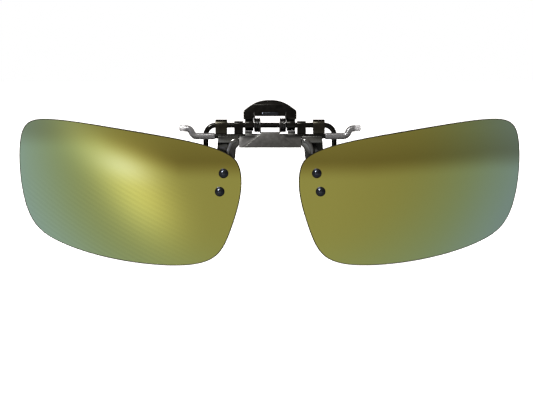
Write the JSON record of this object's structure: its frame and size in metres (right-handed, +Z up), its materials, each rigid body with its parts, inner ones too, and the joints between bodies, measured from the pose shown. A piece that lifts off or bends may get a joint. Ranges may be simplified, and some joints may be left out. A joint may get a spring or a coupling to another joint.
{
  "type": "clip-on flip lenses",
  "caption": "Pair of mirrored lenses on a flip-up plate and a sprung two-wire clamp that grips spectacles between coated front and rear claws.",
  "frame": {"origin": "middle of the hinge shaft, on its axis, halfway between the two lenses", "axes": "+X along the hinge shaft towards the viewer's right, +Y from the mirrored side towards the wearer, +Z up"},
  "size_m": [0.1384, 0.0144, 0.045],
  "materials": {
    "mirror_lens": "mirror-coated tinted plastic, gold turning green and teal",
    "black_nickel": "polished black nickel",
    "gunmetal": "dark grey plated sheet",
    "spring_steel": "dark spring wire",
    "clear_sleeve": "clear soft tube",
    "clear_bush": "clear moulded bush",
    "washer_black": "black moulded washer"
  },
  "bodies": {
    "front_clamp": {"front_claw_wire": "black_nickel", "front_sleeve_left": "clear_sleeve", "front_sleeve_right": "clear_sleeve", "inner_link_left": "black_nickel", "inner_link_right": "black_nickel", "outer_link_left": "black_nickel", "outer_link_right": "black_nickel", "torsion_spring": "spring_steel"},
    "lens_frame": {"flip_plate": "gunmetal", "lens_bracket_left": "gunmetal", "lens_bracket_right": "gunmetal", "lens_left": "mirror_lens", "lens_right": "mirror_lens", "lens_rivets": "black_nickel", "lens_bushes": "clear_bush", "lens_washers": "washer_black"},
    "rear_jaw": {"rear_claw_wire": "black_nickel", "rear_sleeve_left": "clear_sleeve", "rear_sleeve_right": "clear_sleeve", "thumb_tab": "black_nickel"}
  },
  "joints": [
    {"name": "lens_flip", "type": "hinge", "parent": "front_clamp", "child": "lens_frame", "pos_m": [0, -0.0018, -0.0029], "axis": [-1, 0, 0], "range_deg": [0, 95], "deforming": ["torsion_spring"]},
    {"name": "jaw_open", "type": "hinge", "parent": "front_clamp", "child": "rear_jaw", "pos_m": [0, 0, 0], "axis": [1, 0, 0], "range_deg": [0, 28], "stiffness_Nm_per_rad": 0.02, "springref_deg": -34.38, "deforming": ["torsion_spring"]}
  ]
}
